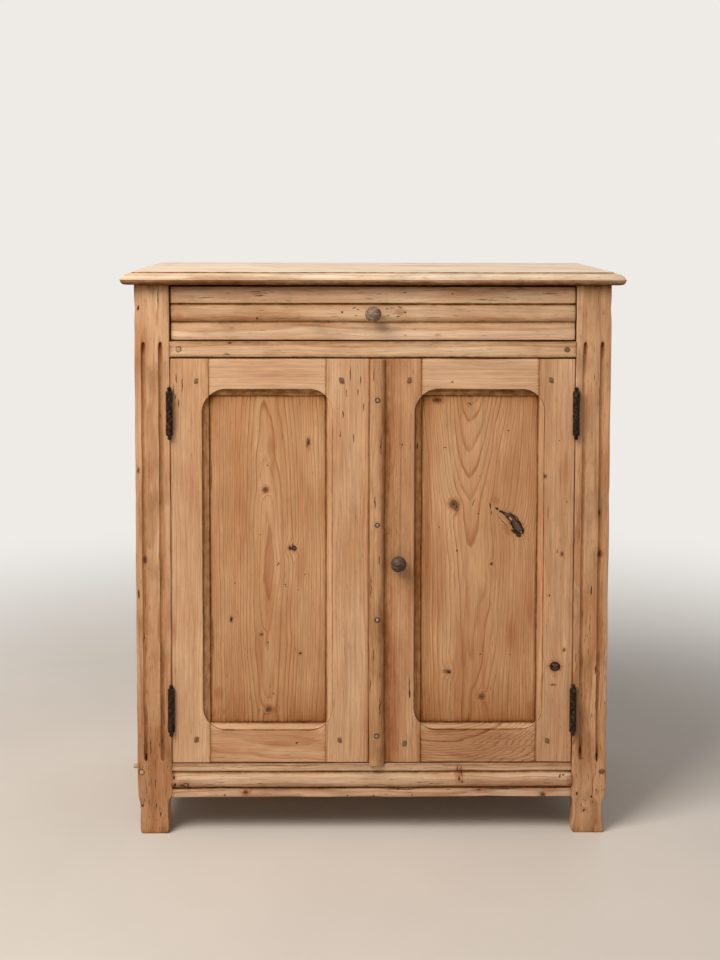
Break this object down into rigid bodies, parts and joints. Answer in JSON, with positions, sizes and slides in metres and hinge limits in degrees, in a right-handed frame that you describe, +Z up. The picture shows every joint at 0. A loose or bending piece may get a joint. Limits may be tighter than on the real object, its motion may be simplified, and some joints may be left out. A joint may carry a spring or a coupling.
{
  "type": "jelly cupboard",
  "caption": "Pine jelly cupboard with a drawer above framed doors with arched panels, hung on barrel hinges between fluted corner posts under a moulded top.",
  "frame": {"origin": "middle of the footprint, on the floor: the centre of the bottom of the overall box", "axes": "+Z up, front towards -Y, +X to the right seen from the front"},
  "size_m": [0.936, 0.457, 1.072],
  "materials": {
    "honey_pine": "stripped and waxed",
    "panel_pine": "stripped and waxed",
    "top_pine": "scrubbed and waxed",
    "inside_pine": "planed, unfinished",
    "peg_end_grain": "hand-cut end grain",
    "worn_knob_wood": "turned and weathered",
    "dark_iron": "blackened, rubbed"
  },
  "bodies": {
    "cabinet": {"back_board_1": "inside_pine", "back_board_2": "inside_pine", "back_board_3": "inside_pine", "back_rail_bottom": "honey_pine", "back_rail_top": "honey_pine", "bottom_board": "inside_pine", "bottom_rail": "honey_pine", "door_stop": "inside_pine", "drawer_rail": "honey_pine", "drawer_rail_peg_left": "peg_end_grain", "drawer_rail_peg_right": "peg_end_grain", "drawer_runner_left": "inside_pine", "drawer_runner_right": "inside_pine", "foot_peg_left": "peg_end_grain", "foot_peg_right": "peg_end_grain", "hinge_left_bottom_post_half": "dark_iron", "hinge_left_top_post_half": "dark_iron", "hinge_right_bottom_post_half": "dark_iron", "hinge_right_top_post_half": "dark_iron", "post_back_left": "honey_pine", "post_back_right": "honey_pine", "post_front_left": "honey_pine", "post_front_right": "honey_pine", "shelf": "inside_pine", "shelf_cleat_left": "inside_pine", "shelf_cleat_right": "inside_pine", "side_panel_left": "panel_pine", "side_panel_right": "panel_pine", "side_peg": "honey_pine", "side_rail_bottom_left": "honey_pine", "side_rail_bottom_right": "honey_pine", "side_rail_top_left": "honey_pine", "side_rail_top_right": "honey_pine", "top_board": "top_pine"},
    "left_door": {"bolt_plate": "dark_iron", "hinge_left_bottom_door_half": "dark_iron", "hinge_left_top_door_half": "dark_iron", "left_door_panel": "panel_pine", "left_door_rail_bottom": "honey_pine", "left_door_rail_top": "honey_pine", "left_door_stile_inner": "honey_pine", "left_door_stile_outer": "honey_pine"},
    "right_door": {"astragal_strip": "honey_pine", "hinge_right_bottom_door_half": "dark_iron", "hinge_right_top_door_half": "dark_iron", "right_door_panel": "panel_pine", "right_door_rail_bottom": "honey_pine", "right_door_rail_top": "honey_pine", "right_door_stile_inner": "honey_pine", "right_door_stile_outer": "honey_pine"},
    "drawer": {"drawer_back": "inside_pine", "drawer_bottom": "inside_pine", "drawer_front": "honey_pine", "drawer_knob": "worn_knob_wood", "drawer_side_left": "inside_pine", "drawer_side_right": "inside_pine"},
    "latch": {"door_knob": "worn_knob_wood", "latch_button": "honey_pine"},
    "bolt": {"bolt_rod": "dark_iron"}
  },
  "joints": [
    {"name": "left_door_hinge", "type": "hinge", "parent": "cabinet", "child": "left_door", "pos_m": [-0.38, -0.2045, 0.5], "axis": [0, 0, -1], "range_deg": [0, 170]},
    {"name": "right_door_hinge", "type": "hinge", "parent": "cabinet", "child": "right_door", "pos_m": [0.38, -0.2045, 0.5], "axis": [0, 0, 1], "range_deg": [0, 170]},
    {"name": "drawer_slide", "type": "slide", "parent": "cabinet", "child": "drawer", "axis": [0, -1, 0], "range_m": [0, 0.3]},
    {"name": "latch_turn", "type": "hinge", "parent": "right_door", "child": "latch", "pos_m": [0.0481, -0.1715, 0.5245], "axis": [0, 1, 0], "range_deg": [0, 90]},
    {"name": "bolt_slide", "type": "slide", "parent": "left_door", "child": "bolt", "axis": [0, 0, 1], "range_m": [0, 0.014]}
  ]
}
